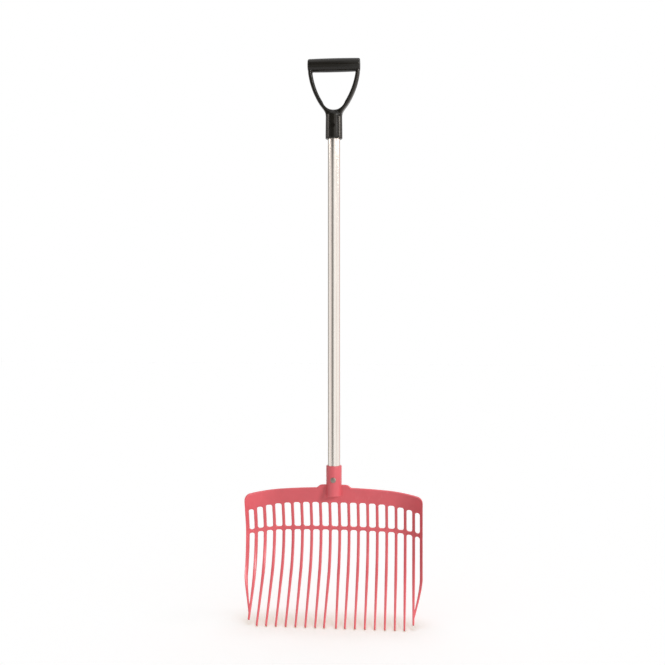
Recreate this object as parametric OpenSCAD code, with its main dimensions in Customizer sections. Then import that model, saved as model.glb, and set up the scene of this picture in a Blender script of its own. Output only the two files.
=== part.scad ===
// Manure fork: a dished comb head moulded in one piece, a tube handle and a D grip.
// Sizes in millimetres. Z runs up the handle, X along the row of tines.
// The load side, the inside of the scoop, faces minus Y.
// The origin is on the floor, under the middle of the fork's outline.

/* [Tines] */
// Number of tines in the row, counting the two side braces
tine_count = 20; // [18:2:22]
// Spacing of the tines, measured along the dished sheet
tine_pitch = 21.75; // [21:0.25:24]
// Width of a tine from the crown to the end of its bend
tine_w = 6.6; // [5.4:0.2:7]
// Width of a tine at its rounded tip
tip_w = 4.4; // [3.6:0.2:5.2]
// Thickness of the moulded sheet that the tines are part of
sheet_t = 5.5; // [4.5:0.5:7]
// Length of the straight run from the bend to the tip
tine_run = 126; // [110:1:150]
// How much shorter the outermost pair of free tips is
side_tip_short = 7; // [0:1:20]

/* [Scoop] */
// Radius of the bend behind the load, at the middle of the sheet
bend_r = 128; // [120:1:140]
// Lean of the crown away from the load, from the upright
crown_lean = 16.5; // [12:0.5:20]
// Lean of the tines towards the load, from the upright
tine_lean = 42; // [36:0.5:46]
// Radius of the dish at each end of the row
dish_r = 115; // [112:1:118]
// Number of tine spaces that lie in the dish at each end
dish_spaces = 4; // [3:1:4]

/* [Crown] */
// Height of the plain band above the slots, in the middle
crown_h = 35; // [30:1:42]
// Radius of the arch along the top edge
crown_arch_r = 1390; // [1200:10:1800]
// Radius of the two outer corners
corner_r = 11; // [8:1:14]
// Height of the slots between the band and the crossbar, in the middle
slot_h = 60; // [50:1:66]
// Corner radius of the slots and of the gaps below the crossbar
slot_r = 4; // [3:0.2:4]
// Radius of the arch that the slot tops follow
slot_arch_r = 650; // [600:10:900]
// Half the length over which the slot tops stay level
slot_level = 45; // [35:1:60]
// Height of the crossbar
crossbar_h = 7; // [5:0.5:9]
// Height of the crossbar's middle above the bend's axis
crossbar_lift = 9; // [5:0.5:12]
// Radius of the arch that the crossbar follows
crossbar_arch_r = 3200; // [3000:50:5000]
// How far the crown's middle plane stands behind the handle's axis, at its top edge
crown_setback = 1; // [0:0.5:3]

/* [Head socket] */
// Wall of the socket around the tube
socket_wall = 3.4; // [3:0.2:4.4]
// Height of the socket above the crown's top edge
socket_up = 51.5; // [46:0.5:60]
// Depth of the socket below the crown's top edge
socket_down = 18; // [16:0.5:20]
// Thickness of the socket's floor, which the tube stands on
socket_floor = 5; // [4:0.5:6]
// Height of the shoulders beside the socket
shoulder_h = 7; // [5:0.5:9]
// Half the width of the shoulders along their top
shoulder_top = 29.5; // [26:0.5:32]
// Half the width of the shoulders along the crown
shoulder_foot = 41; // [38:0.5:46]

/* [Handle tube] */
// Outside diameter of the tube
tube_d = 28; // [27:0.5:29]
// Wall of the tube
tube_wall = 1.5; // [1.2:0.1:2]
// Length of the tube
tube_len = 860; // [700:5:1000]
// Gap around the tube in both sockets, on the radius
tube_gap = 0.1; // [0.05:0.05:0.2]

/* [D grip] */
// Length of the hand bar
bar_len = 119.5; // [118.5:0.5:122]
// Diameter of the hand bar in its middle
bar_d = 31.5; // [30:0.5:33]
// How much the bar's ends are smaller than its middle, on the radius
bar_crown = 0.7; // [0.5:0.1:1]
// Rounding of the bar's end edges
bar_edge_r = 2.5; // [1.5:0.5:3]
// Inner radius of the two curved arms
arm_r = 169.4; // [168:0.2:171]
// Thickness of the arms seen from the front
arm_t = 9.4; // [8.6:0.2:10]
// Depth of the arms from front to back
arm_d = 20; // [18:0.5:21]
// Height of the arms' arc centres above the bar's axis
arm_rise = 5.7; // [5:0.1:6.5]
// Distance of the arms' arc centres beyond the handle's axis
arm_offset = 118.2; // [117:0.2:119]
// Radius of the bottom of the hand opening
loop_r = 24.5; // [24:0.5:26]
// Depth of the hand opening's bottom below the bar's axis
loop_drop = 102.2; // [101:0.2:103]
// Depth of the grip's hub from front to back
hub_d = 25; // [23:0.5:27]
// Distance from the bar's axis down to the tube's end
grip_drop = 119; // [117:0.5:122]
// Length of the grip's socket below the tube's end
grip_socket = 50; // [44:1:60]
// Wall of the grip's socket around the tube
grip_wall = 4.4; // [4:0.2:5]

/* [Fasteners] */
// Diameter of the head bolt's shank
bolt_d = 6; // [5:0.5:6.5]
// Diameter of the head bolt's domed head
bolt_head_d = 12; // [11:0.5:13]
// Height of the head bolt's domed head
bolt_head_h = 3.6; // [3:0.2:4]
// Distance of the bolt below the socket's mouth
bolt_drop = 31; // [26:0.5:36]
// Width of the nut across its flats
nut_flats = 10; // [9:0.5:11]
// Height of the nut
nut_h = 5; // [4:0.5:6]
// Length of the bolt's end beyond the nut
bolt_end = 1.5; // [0.5:0.5:3]
// Diameter of the grip screw's shank
screw_d = 4; // [3.5:0.5:4.5]
// Diameter of the grip screw's head
screw_head_d = 8; // [7:0.5:9]
// Height of the grip screw's head
screw_head_h = 2.4; // [2:0.2:3]
// Distance of the grip screw above the grip socket's mouth
screw_lift = 29; // [24:0.5:36]
// Length of the grip screw's end inside the tube
screw_end = 4; // [3:0.5:6]
// Gap around the shanks in their holes, on the radius
shank_gap = 0.2; // [0.1:0.05:0.3]
// Gap around the fastener heads in their flat seats, on the radius
seat_gap = 0.5; // [0.4:0.1:0.8]

/* [Hidden] */
$fn = 96;
arch_fn = 256;

// how far cutting shapes run past what they cut
overrun = 1;
// steps per millimetre that drawn positions are rounded to
steps = 100;
function to_step(v) = round(v * steps) / steps;

// places along the row: s is the distance along the sheet from the middle
half_row = tine_pitch * (tine_count - 1) / 2;
flat_half = to_step(half_row - dish_spaces * tine_pitch);
function dish_turn(s) = max(0, abs(s) - flat_half) / dish_r * 180 / PI;
function spread(s) = min(abs(s), flat_half) + dish_r * sin(dish_turn(s));
// an even number of steps, so that the middle between two tines is a whole number too
function across(s) = sign(s) * 2 * to_step(spread(s) / 2);
function rise(s) = dish_r * (1 - cos(dish_turn(s)));
tine_s = [for (i = [0 : tine_count - 1]) tine_pitch * (i - (tine_count - 1) / 2)];
tine_x = [for (s = tine_s) across(s)];
row_half = tine_x[tine_count - 1] + tine_w / 2;
dish_end = asin((row_half + sheet_t - flat_half) / dish_r);
dish_reach = dish_r + sheet_t;

// heights above the bend's axis
bar_low = crossbar_lift - crossbar_h / 2;
slot_low = crossbar_lift + crossbar_h / 2;
slot_top = slot_low + slot_h;
crown_top = slot_top + crown_h;
socket_mouth = crown_top + socket_up;
socket_base = crown_top - socket_down;
tube_foot = socket_base + socket_floor;
bolt_z = socket_mouth - bolt_drop;
function bar_arch(x) = x * x / (2 * crossbar_arch_r);
function slot_arch(x) = pow(max(0, abs(x) - slot_level), 2) / (2 * slot_arch_r);
function crown_arch(x) = crown_arch_r - sqrt(crown_arch_r * crown_arch_r - x * x);

// the bend's axis, seen from the handle's axis and from the floor
crown_y = bend_r * cos(crown_lean) - (crown_top - bend_r * sin(crown_lean)) * tan(crown_lean);
bend_y = to_step(crown_setback - crown_y);
tip_drop = (bend_r + sheet_t / 2) * sin(tine_lean) + tine_run * cos(tine_lean);
bend_z = to_step(tip_drop);

// the outline from front to back, for the origin
function is_brace(i) = i == 0 || i == tine_count - 1;
function is_side(i) = i == 1 || i == tine_count - 2;
function run(i) = tine_run - (is_side(i) ? side_tip_short : 0);
function tip_y(i) = (bend_r - rise(tine_s[i]) - sheet_t / 2) * cos(tine_lean) - run(i) * sin(tine_lean);
front_y = bend_y + min([for (i = [1 : tine_count - 2]) tip_y(i)]);
back_y = bend_y + bend_r + sheet_t / 2;
axis_y = to_step(-(front_y + back_y) / 2);

// radii and heights along the handle
tube_r = tube_d / 2;
bore_r = tube_r + tube_gap;
socket_r = bore_r + socket_wall;
grip_r = bore_r + grip_wall;
foot_z = bend_z + tube_foot;
tube_top = foot_z + tube_len;
bar_z = tube_top + grip_drop;
grip_mouth = tube_top - grip_socket;
screw_z = grip_mouth + screw_lift;
bolt_at = bend_z + bolt_z;
reach = row_half + tine_run;

// flat seats for the fastener heads, as far from the axis as the round wall allows
bolt_seat_r = bolt_head_d / 2 + seat_gap;
bolt_seat = to_step(sqrt(socket_r * socket_r - bolt_seat_r * bolt_seat_r));
screw_seat_r = screw_head_d / 2 + seat_gap;
screw_seat = to_step(sqrt(grip_r * grip_r - screw_seat_r * screw_seat_r));
nut_corner_r = nut_flats / 2 / cos(30);
nut_seat_r = nut_corner_r + seat_gap;
nut_seat = to_step(sqrt(socket_r * socket_r - nut_seat_r * nut_seat_r));

// the side braces, in the plane of the straight tines
brace_start = 3;
brace_join = 64;
brace_w = 5;

// flat steps that draw the bar's bow, and the same again for its end edge
bow_steps = 6;

// the grip's hub
hub_top = 92;
hub_foot = 114;
hub_inset = 0.2;
arm_out_r = arm_r + arm_t;
arm_out = sqrt(arm_out_r * arm_out_r - pow(hub_top + arm_rise, 2)) - arm_offset;
hub_top_half = to_step(arm_out - hub_inset);
cap_h = 10;
cap_r = 12;
// angles of the arms' upper and lower ends, and how far the arms stop inside the bar's ends
arm_top = 4.5;
arm_low = 36.5;
arm_inset = 0.3;

module rounded_slot(w, low, high, r) {
  translate([0, (low + high) / 2]) {
    square([w - 2 * r, high - low], center = true);
    square([w, high - low - 2 * r], center = true);
    for (sx = [-1, 1], sy = [-1, 1])
      translate([sx * (w / 2 - r), sy * ((high - low) / 2 - r)])
        circle(r = r);
  }
}

// the sheet's section: distance from the bend's axis, then place across the head
module dish_section() {
  translate([bend_r - dish_r, flat_half])
    intersection() {
      difference() {
        circle(r = dish_r + sheet_t / 2);
        circle(r = dish_r - sheet_t / 2);
      }
      polygon([[0, 0], [dish_reach, 0], [dish_reach, dish_reach * tan(dish_end)]]);
    }
}

module sheet_section() {
  translate([bend_r - sheet_t / 2, -flat_half])
    square([sheet_t, 2 * flat_half]);
  dish_section();
  mirror([0, 1])
    dish_section();
}

// turns about the bend's axis: each takes the same four half turns, in its own order,
// so that rounding in the turns is alike for all the sheets and their joints meet
module turned(by, and_back) {
  rotate([by / 2, 0, 0])
    rotate([by / 2, 0, 0])
      rotate([and_back / 2, 0, 0])
        rotate([-and_back / 2, 0, 0])
          children();
}

module crown_turn() {
  turned(crown_lean, tine_lean)
    children();
}

module tine_turn() {
  turned(-tine_lean, crown_lean)
    children();
}

module no_turn() {
  rotate([crown_lean / 2, 0, 0])
    rotate([-crown_lean / 2, 0, 0])
      turned(0, tine_lean)
        children();
}

module half_space(up) {
  translate([-reach, 0, up ? 0 : -reach])
    cube([2 * reach, reach, reach]);
}

// the straight sheets, above and below the bend
module straight_sheet(up) {
  translate([0, 0, up ? 0 : -reach / 2])
    linear_extrude(height = reach / 2)
      rotate([0, 0, 90])
        mirror([0, 1])
          sheet_section();
}

// the bend's plain sheet, turned about the bend's axis
module bend_sheet() {
  intersection() {
    no_turn()
      rotate([90, 0, 90])
        rotate([0, 0, -90])
          rotate_extrude(angle = 180)
            sheet_section();
    crown_turn()
      half_space(false);
    tine_turn()
      half_space(true);
  }
}

module crown_outline() {
  difference() {
    intersection() {
      translate([0, crown_top - crown_arch_r])
        circle(r = crown_arch_r, $fn = arch_fn);
      translate([-row_half, -reach / 2])
        square([2 * row_half, reach]);
    }
    for (side = [0, 1])
      mirror([side, 0])
        crown_corner();
  }
  polygon([
    [-shoulder_foot, slot_top], [shoulder_foot, slot_top],
    [shoulder_foot, crown_top - crown_arch(shoulder_foot)],
    [shoulder_top, crown_top + shoulder_h], [-shoulder_top, crown_top + shoulder_h],
    [-shoulder_foot, crown_top - crown_arch(shoulder_foot)]
  ]);
}

module crown_corner() {
  corner_x = row_half - corner_r;
  corner_z = to_step(crown_top - crown_arch(corner_x) - corner_r + overrun / 4);
  translate([corner_x, corner_z])
    difference() {
      square([2 * corner_r, 2 * corner_r]);
      circle(r = corner_r);
    }
}

module slots() {
  for (i = [0 : tine_count - 2]) {
    mid = to_step((tine_x[i] + tine_x[i + 1]) / 2);
    gap = to_step(tine_x[i + 1] - tine_x[i]) - tine_w;
    low = to_step(slot_low - bar_arch(mid));
    high = low + 2 * to_step((slot_top - slot_arch(mid) - low) / 2);
    edge = to_step(bar_low - bar_arch(mid));
    foot = edge - 2 * bend_r;
    translate([mid, 0]) {
      rounded_slot(gap, low, high, slot_r);
      rounded_slot(gap, foot, edge, slot_r);
    }
  }
}

module comb() {
  no_turn()
    rotate([90, 0, 0])
      linear_extrude(height = 2 * reach, center = true)
        difference() {
          crown_outline();
          slots();
        }
}

module upper_part() {
  intersection() {
    crown_turn()
      straight_sheet(true);
    comb();
  }
  intersection() {
    bend_sheet();
    comb();
  }
}

module tine_outline(x, length) {
  half = tine_w / 2;
  tip = tip_w / 2;
  end = length - tip;
  translate([x, 0]) {
    polygon([[-half, 0], [half, 0], [tip, -end], [-tip, -end]]);
    translate([0, -end])
      intersection() {
        circle(r = tip);
        translate([-tip_w, -tip_w])
          square([2 * tip_w, tip_w]);
      }
  }
}

module brace_outline() {
  from_x = tine_x[tine_count - 1];
  to_x = tine_x[tine_count - 2];
  half = tine_w / 2;
  slope = atan((from_x - to_x) / (brace_join - brace_start));
  dx = brace_w / 2 * cos(slope);
  dy = brace_w / 2 * sin(slope);
  polygon([
    [from_x - half, 0], [from_x + half, 0], [from_x + half, -brace_start],
    [to_x + dx, -brace_join - dy], [to_x - dx, -brace_join + dy],
    [from_x - half, -brace_start]
  ]);
}

module lower_part() {
  tine_turn()
    intersection() {
      straight_sheet(false);
      rotate([90, 0, 0])
        linear_extrude(height = 2 * reach, center = true) {
          for (i = [1 : tine_count - 2])
            tine_outline(tine_x[i], run(i));
          brace_outline();
          mirror([1, 0])
            brace_outline();
        }
    }
}

module through_y(r, from, to) {
  translate([0, from, 0])
    rotate([-90, 0, 0])
      cylinder(r = r, h = to - from);
}

module fork_head() {
  color([0.86, 0.4, 0.42])
    translate([0, axis_y, bend_z])
      difference() {
        union() {
          translate([0, bend_y, 0]) {
            upper_part();
            lower_part();
          }
          translate([0, 0, socket_base])
            cylinder(r = socket_r, h = socket_mouth - socket_base);
        }
        translate([0, 0, tube_foot])
          cylinder(r = bore_r, h = socket_mouth - tube_foot + overrun);
        translate([0, 0, bolt_z]) {
          through_y(bolt_d / 2 + shank_gap, -2 * socket_r, 2 * socket_r);
          through_y(bolt_seat_r, -2 * socket_r, -bolt_seat);
          through_y(nut_seat_r, nut_seat, 2 * socket_r);
        }
      }
}

module handle_tube() {
  color([0.8, 0.8, 0.81])
    translate([0, axis_y, 0])
      difference() {
        translate([0, 0, foot_z])
          cylinder(r = tube_r, h = tube_len);
        translate([0, 0, foot_z - overrun])
          cylinder(r = tube_r - tube_wall, h = tube_len + 2 * overrun);
        translate([0, 0, bolt_at])
          through_y(bolt_d / 2 + shank_gap, -2 * tube_r, 2 * tube_r);
        translate([0, 0, screw_z])
          through_y(screw_d / 2, -2 * tube_r, 0);
      }
}

// the bar's side from the middle to one end: a shallow bow, then a rounded edge
function bow(y) = bar_d / 2 - bar_crown * pow(2 * y / bar_len, 2);
edge_y = bar_len / 2 - bar_edge_r;
edge_x = bow(edge_y) - bar_edge_r;
bow_points = [for (k = [0 : bow_steps]) [bow(edge_y * k / bow_steps), edge_y * k / bow_steps]];
edge_points = [for (k = [1 : bow_steps])
  [edge_x + bar_edge_r * cos(90 * k / bow_steps), edge_y + bar_edge_r * sin(90 * k / bow_steps)]];
side_points = concat(bow_points, edge_points);
last_side = len(side_points) - 1;

module bar_profile() {
  polygon(concat(
    [[0, bar_len / 2], [0, -bar_len / 2]],
    [for (k = [last_side : -1 : 1]) [side_points[k][0], -side_points[k][1]]],
    side_points
  ));
}

module arm_section() {
  flat = arm_d - arm_t;
  square([arm_t, flat], center = true);
  for (side = [0, 1])
    mirror([0, side])
      translate([0, flat / 2])
        intersection() {
          circle(r = arm_t / 2);
          translate([-arm_t, 0])
            square([2 * arm_t, arm_t]);
        }
}

module arm() {
  intersection() {
    translate([-arm_offset, 0, arm_rise])
      rotate([90, 0, 0])
        rotate([0, 0, -arm_low])
          rotate_extrude(angle = arm_low - arm_top)
            translate([arm_r + arm_t / 2, 0])
              arm_section();
    translate([0, -arm_d, -2 * hub_top])
      cube([bar_len / 2 - arm_inset, 2 * arm_d, 2 * hub_top]);
  }
}

module hub() {
  rotate([90, 0, 0])
    linear_extrude(height = hub_d, center = true)
      difference() {
        polygon([
          [-hub_top_half, -hub_top], [hub_top_half, -hub_top],
          [grip_r, -hub_foot], [-grip_r, -hub_foot]
        ]);
        translate([0, loop_r - loop_drop])
          circle(r = loop_r);
      }
  translate([0, 0, -hub_foot])
    cylinder(r1 = grip_r, r2 = cap_r, h = cap_h);
  translate([0, 0, -grip_drop - grip_socket])
    cylinder(r = grip_r, h = grip_drop + grip_socket - hub_foot);
}

module d_grip() {
  color([0.13, 0.12, 0.11])
    translate([0, axis_y, 0])
      difference() {
        translate([0, 0, bar_z]) {
          rotate([0, 90, 0])
            rotate_extrude()
              bar_profile();
          arm();
          mirror([1, 0, 0])
            arm();
          hub();
        }
        translate([0, 0, grip_mouth - overrun])
          cylinder(r = bore_r, h = grip_socket + overrun);
        translate([0, 0, screw_z]) {
          through_y(screw_d / 2 + shank_gap, -2 * grip_r, 0);
          through_y(screw_seat_r, -2 * grip_r, -screw_seat);
        }
      }
}

module head_bolt() {
  dome_r = (bolt_head_d * bolt_head_d / 4 + bolt_head_h * bolt_head_h) / (2 * bolt_head_h);
  color([0.6, 0.58, 0.55])
    translate([0, axis_y, bolt_at]) {
      through_y(bolt_d / 2, -bolt_seat, nut_seat + nut_h + bolt_end);
      intersection() {
        through_y(bolt_head_d / 2, -bolt_seat - bolt_head_h, -bolt_seat);
        translate([0, dome_r - bolt_head_h - bolt_seat, 0])
          sphere(r = dome_r);
      }
    }
}

module head_nut() {
  color([0.6, 0.58, 0.55])
    translate([0, axis_y, bolt_at])
      difference() {
        translate([0, nut_seat, 0])
          rotate([-90, 0, 0])
            cylinder(r = nut_corner_r, h = nut_h, $fn = 6);
        through_y(bolt_d / 2, nut_seat - overrun, nut_seat + nut_h + overrun);
      }
}

module grip_screw() {
  color([0.2, 0.2, 0.2])
    translate([0, axis_y, screw_z]) {
      through_y(screw_d / 2, -screw_seat, -tube_r + tube_wall + screw_end);
      through_y(screw_head_d / 2, -screw_seat - screw_head_h, -screw_seat);
    }
}

fork_head();
handle_tube();
d_grip();
head_bolt();
head_nut();
grip_screw();
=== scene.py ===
import math

import bmesh
import bpy
import numpy as np
from bpy.props import FloatProperty, FloatVectorProperty, IntProperty, PointerProperty
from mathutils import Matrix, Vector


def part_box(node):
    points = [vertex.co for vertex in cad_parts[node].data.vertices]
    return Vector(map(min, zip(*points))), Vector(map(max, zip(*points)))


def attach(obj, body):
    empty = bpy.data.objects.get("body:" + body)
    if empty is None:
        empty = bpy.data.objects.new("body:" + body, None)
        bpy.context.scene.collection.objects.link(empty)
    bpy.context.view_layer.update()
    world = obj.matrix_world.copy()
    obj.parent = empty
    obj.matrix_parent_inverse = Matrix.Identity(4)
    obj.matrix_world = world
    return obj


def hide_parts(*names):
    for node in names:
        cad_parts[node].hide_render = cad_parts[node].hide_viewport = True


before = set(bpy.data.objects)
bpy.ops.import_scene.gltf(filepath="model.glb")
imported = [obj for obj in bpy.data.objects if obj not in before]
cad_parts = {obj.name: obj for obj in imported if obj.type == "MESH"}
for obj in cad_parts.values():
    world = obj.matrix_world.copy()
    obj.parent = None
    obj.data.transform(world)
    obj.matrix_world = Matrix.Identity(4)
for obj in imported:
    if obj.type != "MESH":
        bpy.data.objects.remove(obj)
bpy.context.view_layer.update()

bl_info = {
    "name": "Manure fork",
    "version": (1, 0, 0),
    "blender": (4, 5, 0),
    "location": "View3D > Sidebar > Manure fork",
    "description": "Moulded comb head, drawn tube and D grip of a manure fork, with a plain stage",
    "category": "Add Mesh",
}

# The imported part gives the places: the handle's axis, the tube's ends, the grip's bar, the fasteners.
TUBE_LOW, TUBE_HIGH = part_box("handle_tube")
HEAD_LOW, HEAD_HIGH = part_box("fork_head")
GRIP_LOW, GRIP_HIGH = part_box("d_grip")
AXIS_Y = (TUBE_LOW.y + TUBE_HIGH.y) / 2
ON_AXIS = np.array([0, AXIS_Y, 0])
TUBE_RADIUS = (TUBE_HIGH.x - TUBE_LOW.x) / 2
BODY = "root"

# Divisions of the meshes: turned pieces, small round pieces, small corners, then rows along a form.
ROUND_STEPS = 96
SMALL_STEPS = 48
CORNER_STEPS = 3
SLOT_ROWS = 4
BEND_ROWS = 13
RUN_ROWS = 9
TIP_ROWS = 5
BRACE_ROWS = 17
BAR_ROWS = 41
ARM_ROWS = 30
HUB_ROWS = 25
WALL_STEPS = 720
# Steps to a metre in which places are compared when points are welded.
WELD_STEPS = 1e6

# Shares of a ridge's height on the rows of a rounded corner, of a tip and of a brace's end.
RIDGE_RISE = (0, 0.2, 0.5, 0.8)
RIDGE_TIP = (0.7, 0)
RIDGE_FADE = (0.75, 0.5, 0.25, 0)
# Share of the head socket's wall that each side of its rounded rim takes.
RIM_SHARE = 0.42
# Share of the hub's rows on which its outer edge is still outside the grip's socket.
FLANK_SHARE = 0.6
# Power of the yoke's section: 2 is an ellipse, more is squarer.
SECTION_POWER = 3.4
# How much glossier and duller than its mean roughness a moulding and a drawn metal can be.
MOULD_GLOSS = (-0.05, 0.06)
METAL_GLOSS = (-0.04, 0.06)
# Share of a metal's brightness that is left in its handling marks.
DULL_SHARE = 0.8


def length(name, description, default):
    """A size in metres, shown in the scene's length unit."""
    return FloatProperty(
        name=name, description=description, default=default, min=0.0, precision=5, unit="LENGTH"
    )


def amount(name, description, default):
    """A plain number: a share, a strength or a camera setting."""
    return FloatProperty(name=name, description=description, default=default)


def angle(name, description, degrees):
    """An angle, given in degrees and kept in radians."""
    return FloatProperty(name=name, description=description, default=math.radians(degrees), subtype="ANGLE")


def paint(name, description, srgb):
    """A colour, given as 0-255 display values and kept as linear light."""
    share = np.array(srgb) / 255.0
    linear = np.where(share <= 0.04045, share / 12.92, ((share + 0.055) / 1.055) ** 2.4)
    return FloatVectorProperty(
        name=name,
        description=description,
        default=[float(c) for c in linear],
        size=3,
        min=0.0,
        max=1.0,
        subtype="COLOR",
    )


class ForkHeadSizes(bpy.types.PropertyGroup):
    """Sizes of the moulded comb and its socket."""

    tine_count: IntProperty(name="Tines", description="Bars across the crown", default=20, min=8, max=30)
    tine_pitch: length("Tine pitch", "Spacing of the tines, along the dished row", 0.02175)
    tine_width: length("Tine width", "Width of a tine through slots and bend", 0.0066)
    tip_width: length("Tip width", "Width of a tine at its tip", 0.0041)
    sheet: length("Sheet thickness", "Thickness of crown and tines", 0.0055)
    edge_round: length("Edge rounding", "Rounded edge all round the comb", 0.0010)
    tine_run: length("Tine run", "Straight length of a tine below the bend", 0.1257)
    middle_spread: length("Middle spread", "How far each of the two middle tips leans outwards", 0.0023)
    side_short: length("Side tip setback", "How much shorter the outermost tips are", 0.0125)
    bend_radius: length("Bend radius", "Middle radius of the bend", 0.128)
    crown_lean: angle("Crown lean", "Crown's lean against the handle", 16.5)
    bend_start: angle("Bend start", "Where the bend's even rows begin, below its axis", 9.0)
    tine_lean: angle("Tine lean", "Lean of the straight tines", 43.2)
    dish_radius: length("Dish radius", "Radius to which both sides of the comb curl forward", 0.115)
    dish_fade: amount("Dish fade", "Share of the dish that is gone below the bend", 1.0)
    dish_spaces: IntProperty(
        name="Dished spaces", description="Spaces of each side that curl", default=4, min=1
    )
    crown_height: length("Crown height", "Crown plate above the slots", 0.035)
    crown_arch: length("Crown arch", "Radius of the crown's top edge", 1.39)
    crown_setback: length("Crown setback", "Crown's top edge behind the handle's axis", 0.001)
    corner_radius: length("Corner radius", "Rounded upper corners of the crown", 0.011)
    slot_height: length("Slot height", "Height of the slots in the middle", 0.060)
    slot_corner: length("Slot corner", "Corner radius of the slots", 0.0048)
    slot_arch: length("Slot arch", "Radius at which slot tops fall to the sides", 0.70)
    slot_level: length("Slot level", "Half width over which slot tops stay level", 0.045)
    crossbar_height: length("Crossbar height", "Height of the bar that ties the tines", 0.007)
    crossbar_lift: length("Crossbar lift", "Crossbar's middle above the bend's axis", 0.009)
    crossbar_arch: length("Crossbar arch", "Radius of the crossbar", 3.2)
    shoulder_height: length("Shoulder height", "Raised shoulders beside the socket", 0.007)
    shoulder_top: length("Shoulder top", "Half width of the raised shoulders", 0.0295)
    shoulder_foot: length("Shoulder foot", "Half width at which the shoulders end", 0.041)
    brace_start: length("Brace start", "Where the outer tines begin to turn inwards, along the run", 0.012)
    brace_from: length("Brace foot", "Inner joint of a side brace, along the run", 0.080)
    brace_to: length("Brace end", "Outer joint of a side brace, along the run", 0.098)
    brace_leave: amount("Brace leave", "Pull of a side brace straight on, before it turns", 0.6)
    brace_arrive: amount("Brace arrival", "Slant at which a side brace ends, to its mean slant", 1.25)
    ridge: length("Ridge", "How far a tine's middle stands above its sides, front and back", 0.0008)
    socket_wall: length("Socket wall", "Wall of the head's socket", 0.0036)
    socket_depth: length("Socket length", "Length of the head's socket", 0.0695)
    socket_floor: length("Socket floor", "Closed end under the tube", 0.005)
    socket_fit: length("Socket fit", "Room between the head's socket and the tube", 0.0001)
    socket_edge: length("Socket edge", "Rounded foot of the head's socket", 0.002)


class HandleSizes(bpy.types.PropertyGroup):
    """Sizes of the tube, the D grip and the fasteners."""

    tube_wall: length("Tube wall", "Wall of the aluminium tube", 0.0015)
    tube_edge: length("Tube edge", "Rounded ends of the tube", 0.0003)
    bar_diameter: length("Bar diameter", "Thickest part of the hand bar", 0.0315)
    bar_crown: length("Bar crown", "How far the bar thins to its ends", 0.0007)
    bar_edge: length("Bar edge", "Rounded ends of the hand bar", 0.003)
    arm_radius: length("Arm radius", "Inner radius of the bowed arms", 0.1694)
    arm_rise: length("Arm rise", "Arms' centre above the bar's middle", 0.0057)
    arm_offset: length("Arm offset", "Arms' centre beyond the middle plane", 0.1182)
    arm_thickness: length("Arm thickness", "Arms seen from the front", 0.0094)
    arm_depth: length("Arm depth", "Arms seen from the side", 0.020)
    arm_inset: length("Arm inset", "How far the arms stay inside the bar's ends", 0.0006)
    arm_start: angle("Arm start", "Where the arms leave the bar", 2.0)
    arm_end: angle("Arm end", "Where the arms turn into the hub", 32.0)
    loop_radius: length("Loop radius", "Rounded foot of the hand opening", 0.0245)
    loop_drop: length("Loop drop", "Foot of the hand opening below the bar", 0.1022)
    hub_depth: length("Hub depth", "Hub seen from the side", 0.026)
    hub_inset: length("Hub inset", "How far the hub's sides stay inside the socket's", 0.0003)
    hub_sink: length("Hub sink", "How far the hub's foot reaches down into the socket", 0.010)
    swell_start: length("Swell start", "Level above the bar's middle where the yoke begins to deepen", 0.0002)
    swell_drop: length("Swell drop", "Drop over which the yoke gains the hub's depth", 0.045)
    dome_rise: length("Dome rise", "Domed top of the grip's socket, inside the hub", 0.013)
    hub_foot: length("Hub foot", "Where the hub meets the socket, below the bar", 0.116)
    socket_top: length("Socket radius, top", "Outer radius of the grip's socket at the hub", 0.0188)
    socket_mouth: length("Socket radius, mouth", "Outer radius of the grip's socket at its mouth", 0.0194)
    socket_bore: length("Socket bore", "Bore radius of the grip's socket", 0.0145)
    mouth_round: length("Mouth rounding", "Rounded rim of the grip's socket", 0.0012)
    blend: length("Grip mesh", "Mesh size at which the grip's parts are blended", 0.0009)
    bolt_head: length("Bolt head", "Diameter of the head bolt's head", 0.0122)
    bolt_head_height: length("Bolt head height", "Height of the head bolt's head", 0.0036)
    bolt_dome: length("Bolt dome", "Height of the dome on the bolt's head", 0.0013)
    bolt_shank: length("Bolt shank", "Diameter of the head bolt's shank", 0.006)
    bolt_chamfer: length("Bolt chamfer", "Chamfer at the end of the bolt", 0.00075)


class ForkFinishes(bpy.types.PropertyGroup):
    """Colours of the finishes."""

    head_red: paint("Head", "Coral moulding of the comb", (215, 93, 101))
    head_worn: paint("Head, scuffed", "Coral moulding where it is rubbed", (222, 128, 131))
    tube_metal: paint("Tube", "Bright drawn aluminium", (234, 228, 221))
    grip_black: paint("Grip", "Black moulding of the grip", (31, 29, 25))
    grip_worn: paint("Grip, scuffed", "Black moulding where it is rubbed", (62, 58, 53))
    zinc: paint("Zinc", "Plated bolt and nut", (150, 140, 131))
    screw_dark: paint("Screw", "Blackened screw", (38, 35, 32))
    floor_white: paint("Floor", "Studio floor", (246, 241, 238))
    floor_shadow: paint("Floor shadow", "Deepest shade of the floor's shadows", (160, 152, 112))


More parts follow.
